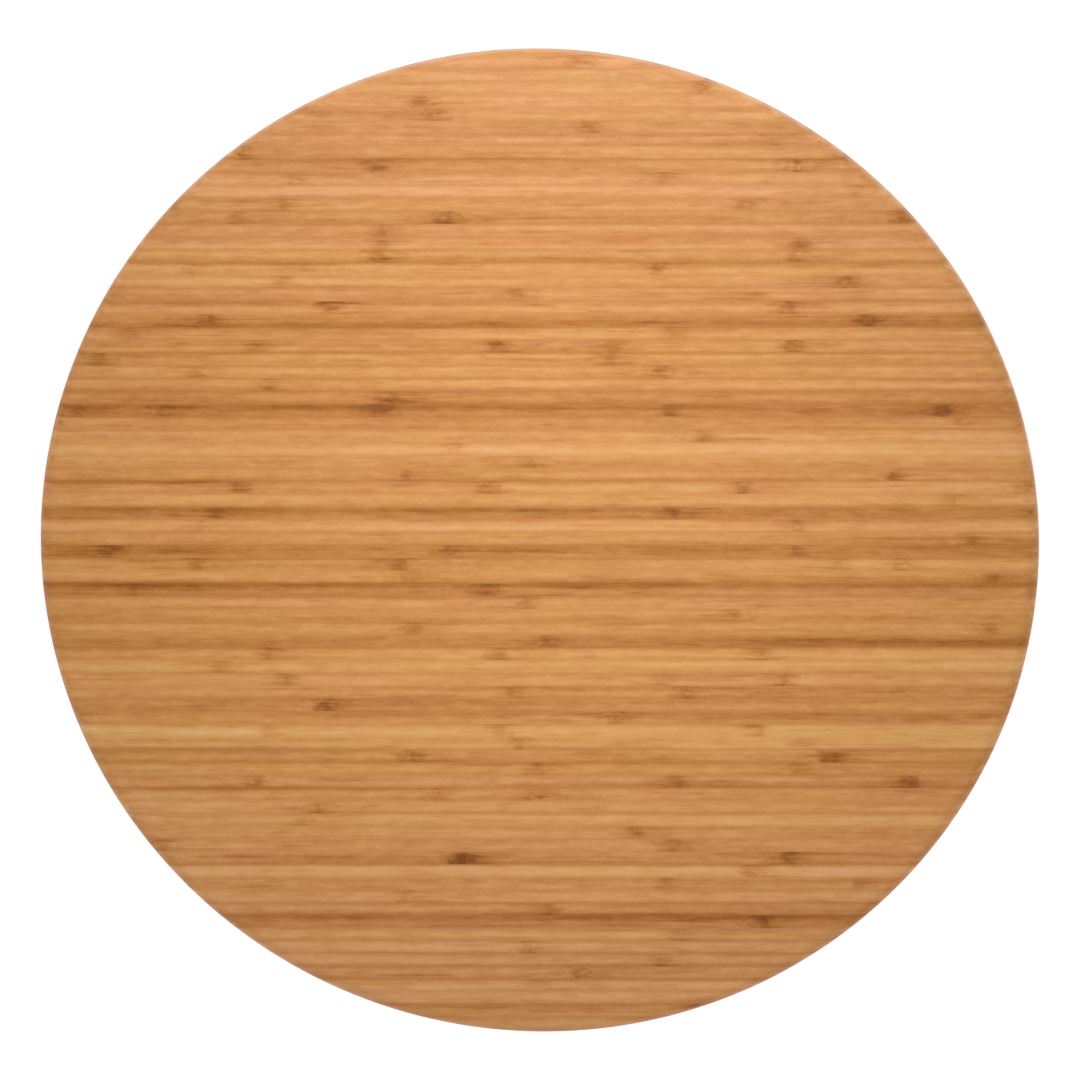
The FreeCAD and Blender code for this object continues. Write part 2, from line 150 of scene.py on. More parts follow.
# Knots of the serving board: (x, y) in mm, and how dark each is, with a minus sign where its longer tail runs
# towards -X. Strips with none get theirs at random.
SERVING_KNOTS = [
    (-40, 170, -0.80), (22, 166, 0.60), (93, 160, 0.45), (-116, 154, 0.50), (-64, 149, 0.65),
    (104, 150, 0.90), (50, 145, 0.60), (-96, 143, -0.50), (127, 139, -0.50), (-102, 134, -0.65),
    (83, 134, 0.65), (-37, 127, -0.80), (-120, 127, 0.40), (144, 129, 0.55), (-62, 122, 0.45),
    (-63, 117, 0.60), (105, 116, 0.70), (-63, 112, 0.70), (103, 110, 0.55), (48, 107, 0.70),
    (-139, 107, 0.45), (-103, 101, -0.60), (123, 102, -0.75), (-8, 95, -0.55), (-83, 91, 0.95),
    (100, 91, 0.85), (-132, 85, -0.75), (131, 86, 0.70), (-164, 80, 0.50), (53, 80, 0.50),
    (-113, 75, -0.55), (-17, 75, 0.75), (29, 75, 0.50), (102, 75, 0.85), (-176, 69, -0.62),
    (29, 69, 0.65), (-138, 63, 0.60), (48, 63, -0.70), (-108, 58, 0.50), (-59, 54, 0.70),
    (-185, 48, 0.55), (-151, 50, 0.50), (-64, 50, -0.62), (53, 49, 0.60), (161, 49, -0.70),
    (168, 44, 0.45), (65, 40, 0.60), (-4, 29, -0.40), (-104, 28, 0.40), (142, 24, 0.75), (-54, 21, 0.60),
    (-120, 18, -0.75), (-21, 18, -0.80), (80, 17, 0.75), (193, 20, 0.50), (164, 14, 0.60), (30, 13, 0.45),
    (-130, 9, 0.55), (53, 7, 0.60), (172, -1, 0.60), (-173, -7, -0.70), (-37, -8, 0.60), (103, -7, 0.50),
    (144, -13, 0.80), (118, -15, -0.45), (-138, -15, 0.55), (-56, -15, -0.80), (181, -18, 0.70),
    (-53, -20, 0.50), (-164, -24, 0.45), (-22, -24, 0.70), (-7, -31, -0.75), (-51, -40, 0.65),
    (180, -38, 0.60), (3, -44, 0.70), (-109, -49, 0.75), (-17, -50, 0.80), (87, -49, -0.85),
    (-129, -57, -0.60), (-103, -60, -0.65), (96, -60, -0.90), (47, -62, 0.50), (-11, -66, 0.50),
    (57, -68, 0.75), (-87, -71, 0.85), (-109, -81, 0.55), (-17, -80, -0.70), (85, -80, -0.70),
    (-10, -87, 0.65), (104, -86, 0.45), (-52, -91, 0.75), (116, -91, 0.85), (-3, -97, 0.55),
    (103, -99, 0.50), (-116, -104, -0.75), (-42, -105, -0.60), (52, -104, 0.50), (147, -104, -0.70),
    (-5, -108, 0.70), (-90, -114, 0.70), (37, -123, 0.55), (-33, -134, 1.25), (98, -133, 0.80),
    (49, -144, 0.60), (127, -145, 0.50), (2, -156, -0.60), (55, -165, 0.55), (-7, -170, 0.65),
]

# Long lines of darker fibres in the serving board: y, the x of both ends, in mm, and how dark each is. A
# minus sign makes a pale one.
SERVING_STREAKS = [
    (169, -115, -48, 0.60), (155, -60, 60, -0.25), (151, -85, 15, 0.40), (151, 90, 140, 0.50),
    (127, -60, 75, 0.50), (127, -150, -60, 0.30), (129, 100, 150, 0.35), (120, 15, 95, 0.35),
    (108, -118, -75, 0.45), (108, -60, -10, 0.30), (94, -170, -95, 0.30), (94, 75, 170, 0.30),
    (83, -185, 0, 0.60), (74, -12, 25, 0.40), (50, -195, -48, 0.45), (51, -48, 30, 0.30),
    (50, 140, 190, 0.35), (34, -70, 5, -0.35), (33, 70, 150, -0.20), (20, -198, -125, 0.60),
    (20, -20, 60, 0.35), (21, 85, 110, 0.40), (21, 150, 195, 0.50), (9, -200, -100, 0.50),
    (9, -70, 60, 0.40), (9, 80, 190, 0.30), (4, -60, 20, 0.35), (4, 70, 170, 0.35), (1, -60, 20, -0.25),
    (-7, -192, -125, 0.50), (-7, -30, 100, 0.40), (-6, 140, 197, 0.45), (-22, -200, -125, 0.50),
    (-22, -115, -65, 0.50), (-22, -5, 60, 0.60), (-20, 62, 190, 0.35), (-31, -195, -130, 0.30),
    (-45, 62, 195, 0.50), (-45, -190, -70, 0.30), (-48, -70, -45, -0.30), (-68, -170, -40, 0.35),
    (-68, 60, 110, 0.30), (-77, 60, 185, 0.40), (-89, -180, -60, 0.70), (-89, 0, 50, 0.40),
    (-89, 110, 185, 0.50), (-105, -165, -62, 0.55), (-104, 40, 75, 0.35), (-103, 125, 165, 0.50),
    (-133, -145, -65, 0.60), (-133, -62, -15, 0.50), (-132, 62, 150, 0.35), (-146, -125, -62, 0.40),
    (-158, -115, -60, 0.35), (-158, 8, 130, 0.70), (-166, -100, 20, 0.30), (-173, -85, 40, 0.30),
    (-172, 62, 105, 0.45),
]


# ---- node materials -----------------------------------------------------------------------------------


class Nodes:
    """Short calls that add shader nodes to a tree."""

    def __init__(self, tree):
        self.tree = tree

    def feed(self, socket, value):
        """Links a socket to another one, or sets it to a constant."""
        if isinstance(value, bpy.types.NodeSocket):
            self.tree.links.new(value, socket)
        else:
            socket.default_value = value

    def node(self, kind, inputs=None, **settings):
        """A new node with its settings and inputs, each input a socket or a constant."""
        made = self.tree.nodes.new("ShaderNode" + kind)
        for name, value in settings.items():
            setattr(made, name, value)
        for key, value in (inputs or {}).items():
            self.feed(made.inputs[key], value)
        return made

    def math(self, operation, *values):
        """The result of a Math node."""
        return self.node("Math", dict(enumerate(values)), operation=operation).outputs[0]

    def total(self, *values):
        """The sum of two or more values."""
        result = values[0]
        for value in values[1:]:
            result = self.math("ADD", result, value)
        return result

    def scaled(self, value, centre, amount):
        """How far a value is from its centre, times an amount."""
        return self.math("MULTIPLY", self.math("SUBTRACT", value, centre), amount)

    def fade(self, value, low, high, start=0.0, end=1.0):
        """A smooth step from start to end as the value goes from low to high."""
        inputs = {"Value": value, "From Min": low, "From Max": high, "To Min": start, "To Max": end}
        return self.node("MapRange", inputs, interpolation_type="SMOOTHSTEP").outputs[0]

    def chosen(self, factor, first, second):
        """The first number where the factor is 0, the second where it is 1, and a blend between."""
        made = self.node("Mix", {0: factor}, data_type="FLOAT")
        self.feed(made.inputs[2], first)
        self.feed(made.inputs[3], second)
        return made.outputs[0]

    def bell(self, value, width):
        """A bell curve of the value: 1 at zero, and near 0 beyond twice the width."""
        squared = self.math("POWER", self.math("ABSOLUTE", value), 2.0)
        return self.math("EXPONENT", self.math("MULTIPLY", squared, -1.0 / width**2))

    def distance(self, x, y):
        """How far (x, y) is from the origin."""
        return self.math("SQRT", self.total(self.math("POWER", x, 2.0), self.math("POWER", y, 2.0)))

    def parts(self, vector):
        """The three components of a vector."""
        split = self.node("SeparateXYZ", {0: vector})
        return [split.outputs[i] for i in range(3)]

    def joined(self, x, y, z):
        """A vector of three components."""
        return self.node("CombineXYZ", {0: x, 1: y, 2: z}).outputs[0]

    def stretched(self, vector, scale):
        """A vector multiplied by three factors."""
        return self.node("VectorMath", {0: vector, 1: scale}, operation="MULTIPLY").outputs[0]

    def noise(self, vector, scale, detail=2.0, roughness=0.5):
        """Noise about 0.5. The scale is three factors, each the number of features to a millimetre."""
        inputs = {"Vector": self.stretched(vector, scale), "Scale": 1.0}
        inputs |= {"Detail": detail, "Roughness": roughness}
        return self.node("TexNoise", inputs).outputs["Fac"]

    def colours(self, value, stops):
        """A colour from a ramp of (position, colour) stops."""
        made = self.node("ValToRGB", {"Fac": value})
        elements = made.color_ramp.elements
        while len(elements) < len(stops):
            elements.new(0.5)
        for element, (position, colour) in zip(elements, stops):
            element.position = position
            element.color = (*colour, 1.0)
        return made.outputs["Color"]

    def mixed(self, factor, first, second):
        """A colour between two, each a socket or three numbers."""
        made = self.node("Mix", data_type="RGBA")
        colours = [c if isinstance(c, bpy.types.NodeSocket) else (*c, 1.0) for c in (first, second)]
        for socket, value in zip((made.inputs[0], made.inputs[6], made.inputs[7]), (factor, *colours)):
            self.feed(socket, value)
        return made.outputs[2]


class Surface(Nodes):
    """A material with one Principled shader."""

    def __init__(self, name, **constants):
        self.material = bpy.data.materials.new(name)
        self.material.use_nodes = True
        super().__init__(self.material.node_tree)
        self.shader = self.tree.nodes["Principled BSDF"]
        for socket, value in constants.items():
            self.shader.inputs[socket.replace("_", " ")].default_value = value

    def millimetres(self):
        """The object's own coordinates in millimetres, as a vector and as x, y and z."""
        place = self.node("TexCoord").outputs["Object"]
        vector = self.stretched(place, (1 / MM, 1 / MM, 1 / MM))
        return vector, self.parts(vector)

    def attribute(self, name):
        """The three components of a vector that the mesh's faces carry."""
        return self.parts(self.node("Attribute", attribute_name=name).outputs["Vector"])

    def finish(self, colour=None, roughness=None, height=None, relief=0.0):
        """Feeds the shader its colour, its roughness and a bump whose height is relief metres."""
        if colour is not None:
            self.feed(self.shader.inputs["Base Color"], colour)
        if roughness is not None:
            self.feed(self.shader.inputs["Roughness"], roughness)
        if height is not None:
            bump = self.node("Bump", {"Height": height, "Distance": relief, "Strength": 1.0})
            self.feed(self.shader.inputs["Normal"], bump.outputs[0])
        return self.material


BAMBOO_STOPS = [
    (0.00, (0.220, 0.064, 0.010)),
    (0.15, (0.310, 0.104, 0.019)),
    (0.28, (0.430, 0.158, 0.030)),
    (0.50, (0.583, 0.251, 0.072)),
    (0.70, (0.705, 0.341, 0.114)),
    (0.85, (0.748, 0.405, 0.152)),
    (1.00, (0.780, 0.484, 0.222)),
]
PINK_TINT = (1.010, 0.990, 1.02)
OLIVE_TINT = (0.99, 1.008, 0.92)
PAINTED_SHEEN_TINT = (0.985, 1.0, 1.20)  # painted sheen: bluer away from the middle of a board, and less so along the strips
PAINTED_SHEEN_FADE = (70.0, 190.0)  # mm from the middle, where it begins and where it is whole
PAINTED_SHEEN_ALONG = 0.55


def nearest_knot(s, x):
    """How far x is from the nearest knot of its strip, and the depth of that knot."""
    nearest, depth = NO_KNOT, 0.0
    for lane in LANES:
        for place, its_depth in zip(s.attribute(f"knots_{lane}"), s.attribute(f"knot_depths_{lane}")):
            off = s.math("SUBTRACT", x, place)
            closer = s.math("LESS_THAN", s.math("ABSOLUTE", off), s.math("ABSOLUTE", nearest))
            nearest = s.chosen(closer, nearest, off)
            depth = s.chosen(closer, depth, its_depth)
    return nearest, depth


def streak_shade(s, x, y):
    """How much darker the streaks of the strip make it at (x, y)."""
    shade = 0.0
    for lane, depth in enumerate(s.attribute("streak_depths"), start=1):
        line, start, end = s.attribute(f"streak_{lane}")
        begun = s.fade(s.math("SUBTRACT", x, start), -STREAK_ENDS, STREAK_ENDS)
        ended = s.fade(s.math("SUBTRACT", x, end), -STREAK_ENDS, STREAK_ENDS, 1.0, 0.0)
        across = s.math("MULTIPLY", s.bell(s.math("SUBTRACT", y, line), STREAK_WIDTH), depth)
        shade = s.total(shade, s.math("MULTIPLY", across, s.math("MULTIPLY", begun, ended)))
    return shade


def bamboo(name):
    """Caramel bamboo in glued strips along X, with fibres, streaks, glue lines and knots."""
    s = Surface(name, Coat_Weight=0.03, Coat_Roughness=0.35, Specular_IOR_Level=0.15)
    _, (x, y, z) = s.millimetres()
    low, width, seed = s.attribute("strip")
    tone, slant, drift = s.attribute("shade")
    glue_below, glue_above, warmth = s.attribute("glue")
    from_low = s.math("SUBTRACT", y, low)
    from_high = s.math("SUBTRACT", width, from_low)
    middle = s.math("SUBTRACT", s.math("DIVIDE", from_low, width), 0.5)
    off, signed_depth = nearest_knot(s, x)
    depth = s.math("ABSOLUTE", signed_depth)

    # Each strip reads its own stretch of the noise. Its fibres wander sideways, and swell round a knot.
    along = s.math("MULTIPLY_ADD", seed, 4000.0, x)
    wander = s.scaled(s.noise(s.joined(along, seed, 0.0), (0.012, 1.0, 1.0), detail=1.0), 0.5, 2.0)
    round_knot = s.math("MULTIPLY", s.bell(off, 6.0), middle)
    swelling = s.math("MULTIPLY", round_knot, s.math("MULTIPLY", depth, -2.4))
    fibre_y = s.total(y, wander, swelling)
    grain = s.joined(along, fibre_y, s.math("MULTIPLY_ADD", seed, 90.0, z))
    fibres = s.noise(grain, (0.09, 2.6, 2.6), detail=3.0, roughness=0.6)
    streaks = s.noise(grain, (0.003, 0.34, 0.3), detail=2.0)
    flecks = s.noise(grain, (0.10, 0.36, 0.4), detail=3.0, roughness=0.75)
    clouds = s.noise(grain, (0.02, 0.16, 0.12), detail=2.0)
    dashes = s.fade(s.noise(grain, (0.030, 0.60, 0.5), detail=2.0), 0.56, 0.72)

    # A knot: a dark core off the middle of the strip, a smudge across it, and streaky tails, the longer one
    # on its own side. Beside it the fibres make a fine figure, and some cores have a pale eye.
    place = s.math("ROUND", s.math("SUBTRACT", x, off))
    chances = s.node("TexWhiteNoise", {"Vector": s.joined(place, seed, 0.0)}, noise_dimensions="3D")
    core_side, core_width, eyed = s.parts(chances.outputs["Color"])
    ragged = s.scaled(s.noise(grain, (0.20, 0.55, 0.5), detail=3.0), 0.5, 8.0)
    towards = s.total(s.math("MULTIPLY", off, s.math("SIGN", signed_depth)), ragged)
    uneven = s.scaled(s.noise(grain, (0.30, 0.30, 0.3), detail=1.0), 0.5, 0.7)
    height = s.total(middle, uneven, s.scaled(core_side, 0.5, -0.5))
    widened = s.math("DIVIDE", towards, s.math("MULTIPLY_ADD", core_width, 1.8, 2.3))
    core = s.math("MULTIPLY", s.bell(widened, 1.0), s.bell(height, 0.42))
    smudge = s.bell(towards, 5.5)
    reach = s.chosen(s.math("GREATER_THAN", towards, 0.0), 1 / 7.0, 1 / 19.0)
    lines = s.fade(s.noise(grain, (0.02, 1.1, 0.9), detail=2.0), 0.42, 0.60, 1.0, 0.15)
    tails = s.math("MULTIPLY", s.bell(s.math("MULTIPLY", towards, reach), 1.0), lines)
    figure = s.math(
        "MULTIPLY",
        s.scaled(s.noise(grain, (0.30, 0.75, 0.7), detail=2.0), 0.5, 1.0),
        s.bell(s.math("ADD", towards, 3.0), 11.0),
    )
    eye = s.math("MULTIPLY", s.bell(s.math("SUBTRACT", towards, 0.6), 1.2), s.bell(height, 0.15))
    eye = s.math("MULTIPLY", eye, s.fade(eyed, 0.5, 0.75))
    knot = s.total(
        s.math("MULTIPLY", core, -0.19),
        s.math("MULTIPLY", smudge, -0.11),
        s.math("MULTIPLY", tails, -0.16),
        s.math("MULTIPLY", figure, 0.45),
        s.math("MULTIPLY", eye, 0.28),
    )

    # A strip is darker towards its glue lines, some more than others, and the lines come and go.
    breaks = s.fade(s.noise(s.joined(along, seed, 3.0), (0.03, 1.0, 1.0), detail=3.0), 0.3, 0.6)
    below = s.math("MULTIPLY", s.bell(from_low, GLUE_LINE), glue_below)
    above = s.math("MULTIPLY", s.bell(from_high, GLUE_LINE), glue_above)
    sides = s.math("MAXIMUM", below, above)
    glue = s.math("MULTIPLY", s.math("POWER", sides, 4.0), breaks)

    # The tones of two strips meet half-way at their join, and the marks of each die out there.
    join_below = s.bell(from_low, JOIN_WIDTH)
    join_above = s.bell(from_high, JOIN_WIDTH)
    step_below, step_above, _ = s.attribute("tone_steps")
    drift_below, drift_above, _ = s.attribute("drift_steps")
    join = s.total(
        s.math("MULTIPLY", join_below, s.math("MULTIPLY_ADD", x, drift_below, step_below)),
        s.math("MULTIPLY", join_above, s.math("MULTIPLY_ADD", x, drift_above, step_above)),
    )
    marks = s.total(
        s.scaled(streaks, 0.5, 0.46),
        s.scaled(flecks, 0.5, 0.52),
        s.scaled(clouds, 0.5, 0.24),
        s.math("MULTIPLY", dashes, -0.12),
    )
    calm = s.math("MULTIPLY_ADD", s.math("MAXIMUM", join_below, join_above), -0.6, 1.0)

    end_grain = s.math("POWER", s.math("ABSOLUTE", s.parts(s.node("TexCoord").outputs["Normal"])[0]), 3.0)
    light = s.total(
        tone,
        s.math("MULTIPLY", middle, slant),
        s.math("MULTIPLY", x, drift),
        join,
        s.math("MULTIPLY", marks, calm),
        s.scaled(fibres, 0.5, 0.11),
        s.scaled(sides, 0.38, -0.14),
        s.math("MULTIPLY", glue, -0.05),
        s.math("MULTIPLY", streak_shade(s, x, fibre_y), s.math("MULTIPLY_ADD", breaks, -0.14, -0.12)),
        s.math("MULTIPLY", knot, depth),
        s.math("MULTIPLY", end_grain, -0.06),
    )
    plain = s.colours(light, BAMBOO_STOPS)
    hue_drift = s.scaled(s.noise(grain, (0.02, 0.2, 0.2), detail=2.0), 0.5, 3.0)
    hue = s.fade(s.total(warmth, hue_drift), 0.0, 1.0)
    colour = s.mixed(hue, s.stretched(plain, PINK_TINT), s.stretched(plain, OLIVE_TINT))
    # Painted sheen: the colour turns bluer away from the middle of the board, and less so along the strips.
    sheen_reach = s.distance(s.math("MULTIPLY", x, PAINTED_SHEEN_ALONG), y)
    colour = s.mixed(s.fade(sheen_reach, *PAINTED_SHEEN_FADE), colour, s.stretched(colour, PAINTED_SHEEN_TINT))

    hard_core = s.math("MULTIPLY", core, depth)
    roughness = s.total(0.46, s.scaled(fibres, 0.5, 0.22), s.math("MULTIPLY", hard_core, -0.08))
    relief = s.total(fibres, s.math("MULTIPLY", glue, -0.6), s.math("MULTIPLY", hard_core, 0.5))
    return s.finish(colour, roughness, relief, 0.012 * MM)


def zinc_sheet(name):
    """Zinc-plated sheet with a faint spangle, greasy round the ball race and bare at its cut edges."""
    s = Surface(name, Metallic=1.0)
    place, (x, y, _) = s.millimetres()
    cells = s.node("TexVoronoi", {"Vector": s.stretched(place, (0.22, 0.22, 0.22)), "Scale": 1.0})
    spangle = s.parts(cells.outputs["Color"])[0]
    rolling = s.noise(place, (0.04, 4.0, 4.0), detail=3.0)
    stains = s.noise(place, (0.06, 0.06, 0.3), detail=4.0, roughness=0.6)
    from_race = s.math("SUBTRACT", s.distance(x, y), BALL_RACE_RADIUS)
    grease = s.math("MULTIPLY", s.bell(from_race, GREASE_WIDTH), s.fade(stains, 0.3, 0.6, 0.5, 1.0))
    upright = s.math("ABSOLUTE", s.parts(s.node("TexCoord").outputs["Normal"])[2])
    cut_edge = s.fade(upright, 0.1, 0.3, 1.0, 0.0)
    light = s.total(
        0.5,
        s.scaled(spangle, 0.5, 0.22),
        s.scaled(rolling, 0.5, 0.3),
        s.scaled(stains, 0.5, 0.5),
    )
    zinc = s.colours(light, [(0.0, (0.40, 0.41, 0.43)), (0.5, (0.56, 0.57, 0.58)), (1.0, (0.70, 0.70, 0.70))])
    greasy = s.mixed(s.math("MULTIPLY", grease, 0.6), zinc, (0.24, 0.19, 0.12))
    colour = s.mixed(s.math("MULTIPLY", cut_edge, 0.5), greasy, (0.28, 0.25, 0.23))
    roughness = s.total(
        0.36,
        s.scaled(spangle, 0.5, 0.08),
        s.scaled(stains, 0.5, 0.25),
        s.math("MULTIPLY", grease, -0.14),
    )
    return s.finish(colour, roughness, s.total(rolling, s.math("MULTIPLY", spangle, 0.3)), 0.006 * MM)


def plated_fastener(name, dark, light):
    """Plated turned steel, with fine turning lines, dull blotches and handling marks."""
    s = Surface(name, Metallic=1.0)
    place, _ = s.millimetres()
    turning = s.noise(place, (1.2, 1.2, 9.0), detail=2.0)
    blotches = s.noise(place, (0.35, 0.35, 0.5), detail=4.0, roughness=0.65)
    scuffs = s.fade(s.noise(place, (5.0, 0.8, 2.0), detail=3.0), 0.62, 0.72)
    tone = s.total(0.5, s.scaled(blotches, 0.5, 1.2), s.math("MULTIPLY", scuffs, 0.25))
    colour = s.colours(tone, [(0.0, dark), (1.0, light)])
    roughness = s.total(0.30, s.scaled(blotches, 0.5, 0.35), s.math("MULTIPLY", scuffs, 0.15))
    return s.finish(colour, roughness, s.total(turning, scuffs), 0.006 * MM)


def ball_steel(name):
    """Hardened bearing balls: near mirror, with a trace of grease and hairline scratches."""
    s = Surface(name, Metallic=1.0)
    place, _ = s.millimetres()
    film = s.noise(place, (0.5, 0.5, 0.5), detail=3.0)
    scratches = s.fade(s.noise(place, (9.0, 1.2, 4.0), detail=2.0), 0.60, 0.70)
    colour = s.mixed(s.fade(film, 0.45, 0.75, 0.0, 0.5), (0.62, 0.62, 0.63), (0.36, 0.31, 0.22))
    roughness = s.total(0.08, s.fade(film, 0.45, 0.75, 0.0, 0.14), s.math("MULTIPLY", scratches, 0.12))
    return s.finish(colour, roughness, scratches, 0.002 * MM)


def nylon(name):
    """Natural moulded nylon, faintly cloudy, stained where grease has crept over it."""
    s = Surface(name, Subsurface_Weight=0.15, Subsurface_Scale=0.002)
    place, _ = s.millimetres()
    cloudy = s.noise(place, (0.25, 0.25, 0.25), detail=3.0)
    stains = s.fade(s.noise(place, (0.12, 0.12, 0.12), detail=4.0), 0.48, 0.66)
    moulded = s.noise(place, (4.0, 4.0, 4.0), detail=2.0)
    clean = s.colours(cloudy, [(0.3, (0.62, 0.59, 0.50)), (0.7, (0.74, 0.72, 0.65))])
    colour = s.mixed(s.math("MULTIPLY", stains, 0.45), clean, (0.36, 0.27, 0.15))
    roughness = s.total(0.42, s.scaled(moulded, 0.5, 0.2), s.math("MULTIPLY", stains, -0.15))
    return s.finish(colour, roughness, moulded, 0.008 * MM)


def foot_rubber(name):
    """Black moulded rubber with a fine pebble, scuffed and dusty low down where it meets the table."""
    s = Surface(name)
    place, (_, _, z) = s.millimetres()
    pebble = s.noise(place, (3.5, 3.5, 3.5), detail=3.0, roughness=0.6)
    smears = s.noise(place, (0.3, 0.3, 0.6), detail=4.0)
    dust = s.math("MULTIPLY", s.fade(z, 0.2, 3.0, 1.0, 0.15), s.fade(smears, 0.40, 0.65))
    rubber = s.colours(smears, [(0.3, (0.016, 0.016, 0.017)), (0.7, (0.030, 0.029, 0.028))])
    colour = s.mixed(s.math("MULTIPLY", dust, 0.5), rubber, (0.115, 0.100, 0.082))
    roughness = s.total(0.60, s.scaled(pebble, 0.5, 0.25), s.math("MULTIPLY", dust, 0.2))
    return s.finish(colour, roughness, pebble, 0.03 * MM)


# ---- bamboo boards ------------------------------------------------------------------------------------


class Strip(NamedTuple):
    """One bamboo strip of a board: its lower edge in mm, and the numbers that its material reads."""

    low: float
    seed: float
    tone: float
    slant: float
    drift: float
    glue_below: float
    glue_above: float
    warmth: float
    knots: list  # (x, depth)
    streaks: list  # (y, start x, end x, depth)

    def attributes(self, below, above):
        """What the strip's faces carry, by attribute name, given the strips below and above it."""
        spare_knots = [(NO_KNOT, 0.0)] * (KNOTS_IN_A_LANE * len(LANES) - len(self.knots))
        spare_streaks = [(0.0, 0.0, 0.0, 0.0)] * (STREAKS_IN_A_STRIP - len(self.streaks))
        knots = [*self.knots, *spare_knots]
        streaks = [*self.streaks, *spare_streaks]
        vectors = {
            "strip": (self.low, STRIP_WIDTH, self.seed),
            "shade": (self.tone, self.slant, self.drift),
            "glue": (self.glue_below, self.glue_above, self.warmth),
            "tone_steps": (
                (below.tone + below.slant / 2 - self.tone + self.slant / 2) / 2,
                (above.tone - above.slant / 2 - self.tone - self.slant / 2) / 2,
                0.0,
            ),
            "drift_steps": ((below.drift - self.drift) / 2, (above.drift - self.drift) / 2, 0.0),
            "streak_depths": [streak[3] for streak in streaks],
        }
        for lane in LANES:
            in_lane = knots[KNOTS_IN_A_LANE * (lane - 1) : KNOTS_IN_A_LANE * lane]
            vectors[f"knots_{lane}"] = [x for x, _ in in_lane]
            vectors[f"knot_depths_{lane}"] = [depth for _, depth in in_lane]
        for lane, streak in enumerate(streaks, start=1):
            vectors[f"streak_{lane}"] = streak[:3]
        return vectors


def strip_of(y, middle):
    """The number of the strip at y mm, counted from the middle one, which is centred on middle."""
    return math.floor((y - middle) / STRIP_WIDTH + 0.5)


def random_knots(rng, reach):
    """The (x, depth) of a strip's knots, one internode apart, out to reach mm each way."""
    x = -reach - rng.uniform(0.0, INTERNODE[1])
    knots = []
    while x < reach:
        knots.append((round(x), rng.uniform(*RANDOM_KNOT_DEPTH) * rng.choice((-1, 1))))
        x += rng.uniform(*INTERNODE)
    return [knot for knot in knots if knot[0] > -reach]


def random_streaks(rng, low, reach):
    """One (y, start, end, depth) line of dark fibres somewhere in a strip, in a list."""
    start = rng.uniform(-reach, reach)
    y = low + rng.uniform(0.0, STRIP_WIDTH)
    end = start + rng.uniform(*RANDOM_STREAK_LENGTH)
    return [(y, start, end, rng.uniform(*RANDOM_STREAK_DEPTH))]


def by_strip(marks, middle, place):
    """Sorts marks into lists by the number of each strip that their place touches."""
    sorted_marks = {}
    for mark in marks:
        for number in sorted({strip_of(y, middle) for y in place(mark)}):
            sorted_marks.setdefault(number, []).append(mark)
    return sorted_marks


def make_strips(rng, radius, middle, tones=None, knots=(), streaks=()):
    """The strips of a board of a radius in mm, with the marks that are given and the rest at random."""
    overlap = (-STREAK_OVERLAP, STREAK_OVERLAP)
    given_knots = by_strip(knots, middle, lambda knot: (knot[1],))
    given_streaks = by_strip(streaks, middle, lambda line: [line[0] + side for side in overlap])
    last = strip_of(radius, middle) + 1
    glue = [rng.uniform(*GLUE_DARKNESS) for _ in range(2 * last + 2)]
    strips = []
    for number in range(-last, last + 1):
        low = (number - 0.5) * STRIP_WIDTH + middle
        unevenness = min(max(rng.gauss(0.0, TONE_SPREAD), -TONE_LIMIT), TONE_LIMIT)
        drawn_knots = random_knots(rng, radius)
        drawn_streaks = random_streaks(rng, low, radius)
        placed = [(float(x), depth) for x, _, depth in given_knots.get(number, [])]
        lines = given_streaks.get(number, []) if streaks else drawn_streaks
        strips.append(
            Strip(
                low=low,
                seed=rng.random(),
                tone=(tones or {}).get(number, PLAIN_TONE) + unevenness,
                slant=rng.uniform(-SLANT_LIMIT, SLANT_LIMIT),
                drift=rng.gauss(0.0, DRIFT_SPREAD),
                glue_below=glue[number + last],
                glue_above=glue[number + last + 1],
                warmth=rng.random(),
                knots=(placed or drawn_knots)[: KNOTS_IN_A_LANE * len(LANES)],
                streaks=lines[:STREAKS_IN_A_STRIP],
            )
        )
    return strips


def rim_profile(radius, low, high, edge_radius):
    """The (r, z) points of a disc's rounded rim, from its lower flat face to its upper one."""
    points = []
    for centre_z, first in ((low + edge_radius, -90), (high - edge_radius, 0)):
        for step in range(EDGE_STEPS + 1):
            angle = math.radians(first + 90 * step / EDGE_STEPS)
            r = radius - edge_radius + edge_radius * math.cos(angle)
            points.append((r, centre_z + edge_radius * math.sin(angle)))
    return points


def turned_solid(name, profile, steps):
    """A closed mesh: a profile of (r, z) points turned about Z, with flat faces at its two ends."""
    mesh = bmesh.new()
    rings = []
    for r, z in profile:
        turns = [math.tau * i / steps for i in range(steps)]
        rings.append([mesh.verts.new((r * math.cos(turn), r * math.sin(turn), z)) for turn in turns])
    for lower, upper in zip(rings, rings[1:]):
        for i in range(steps):
            j = (i + 1) % steps
            mesh.faces.new((lower[i], lower[j], upper[j], upper[i]))
    mesh.faces.new(reversed(rings[0]))
    mesh.faces.new(rings[-1])
    data = bpy.data.meshes.new(name)
    mesh.to_mesh(data)
    mesh.free()
    solid = bpy.data.objects.new(name, data)
    bpy.context.scene.collection.objects.link(solid)
    return solid


def cut_away(solid, cutter):
    """Cuts one solid out of another, and removes the cutter."""
    boolean = solid.modifiers.new("cut", "BOOLEAN")
    boolean.object = cutter
    boolean.operation = "DIFFERENCE"
    boolean.solver = "EXACT"
    bpy.context.view_layer.update()
    evaluated = solid.evaluated_get(bpy.context.evaluated_depsgraph_get())
    solid.data = bpy.data.meshes.new_from_object(evaluated)
    solid.modifiers.clear()
    bpy.data.objects.remove(cutter)


